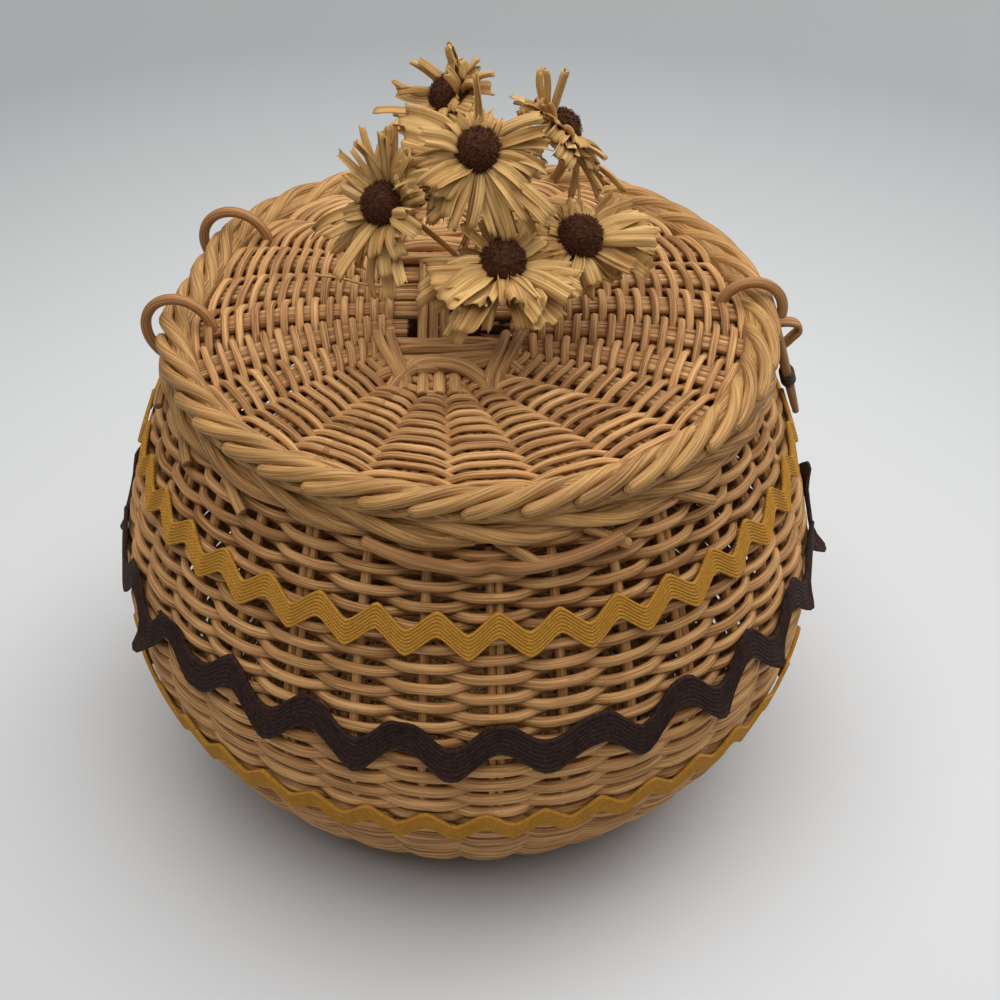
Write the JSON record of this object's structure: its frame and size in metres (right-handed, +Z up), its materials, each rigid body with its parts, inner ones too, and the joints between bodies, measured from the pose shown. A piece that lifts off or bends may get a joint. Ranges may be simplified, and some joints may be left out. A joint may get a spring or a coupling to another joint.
{
  "type": "lidded sewing basket",
  "caption": "Round, pot-bellied wicker sewing basket with a ring-hinged woven lid, a reed clasp, wavy trim round the wall and a bunch of straw flowers on the lid.",
  "frame": {"origin": "middle of the underside of the base, on the surface the basket stands on", "axes": "+Z up; the hinge lies on the -X side with its axis along Y, and the clasp is towards +X"},
  "size_m": [0.2088, 0.2088, 0.2226],
  "materials": {
    "reed": "varnished round reed, satin",
    "pale_reed": "varnished round reed, paler, satin",
    "brown_reed": "thick peeled cane, darker, satin",
    "dark_band": "dark wound band, matt",
    "gold_trim": "woven rickrack braid, old gold, matt",
    "brown_trim": "woven jumbo rickrack braid, dark brown, matt",
    "straw": "dried husk strips, matt with a slight sheen",
    "pom": "fuzzy dark brown pompon",
    "green_tape": "dark green florist's tape, matt"
  },
  "bodies": {
    "basket": {"base_mat": "reed", "wall_lower": "reed", "wall_upper": "reed", "rim_border": "pale_reed", "rim_tuck_reed": "brown_reed", "catch_loop": "brown_reed", "rickrack_gold_upper": "gold_trim", "rickrack_brown": "brown_trim", "rickrack_gold_lower": "gold_trim", "hinge_ring_front": "brown_reed", "hinge_ring_rear": "brown_reed"},
    "lid": {"lid_panel": "reed", "lid_border": "pale_reed", "clasp_eye": "brown_reed", "stem_binding": "green_tape", "hub_long_sticks": "reed", "hub_cross_front": "reed", "hub_cross_rear": "reed", "flower_right_back_petals": "straw", "flower_right_back_centre": "pom", "flower_right_back_stem": "green_tape", "flower_back_petals": "straw", "flower_back_centre": "pom", "flower_back_stem": "green_tape", "flower_left_petals": "straw", "flower_left_centre": "pom", "flower_left_stem": "green_tape", "flower_front_petals": "straw", "flower_front_centre": "pom", "flower_front_stem": "green_tape", "flower_low_front_petals": "straw", "flower_low_front_centre": "pom", "flower_low_front_stem": "green_tape", "flower_low_right_petals": "straw", "flower_low_right_centre": "pom", "flower_low_right_stem": "green_tape"},
    "hasp": {"clasp_hasp": "brown_reed", "hasp_binding": "dark_band"}
  },
  "joints": [
    {"name": "lid_hinge", "type": "hinge", "parent": "basket", "child": "lid", "pos_m": [-0.07729, 0, 0.1491], "axis": [0, -1, 0], "range_deg": [0, 105]},
    {"name": "hasp_swing", "type": "hinge", "parent": "lid", "child": "hasp", "pos_m": [0.08084, 0.02942, 0.15168], "axis": [0.342, -0.9397, 0], "range_deg": [0, 150]}
  ]
}
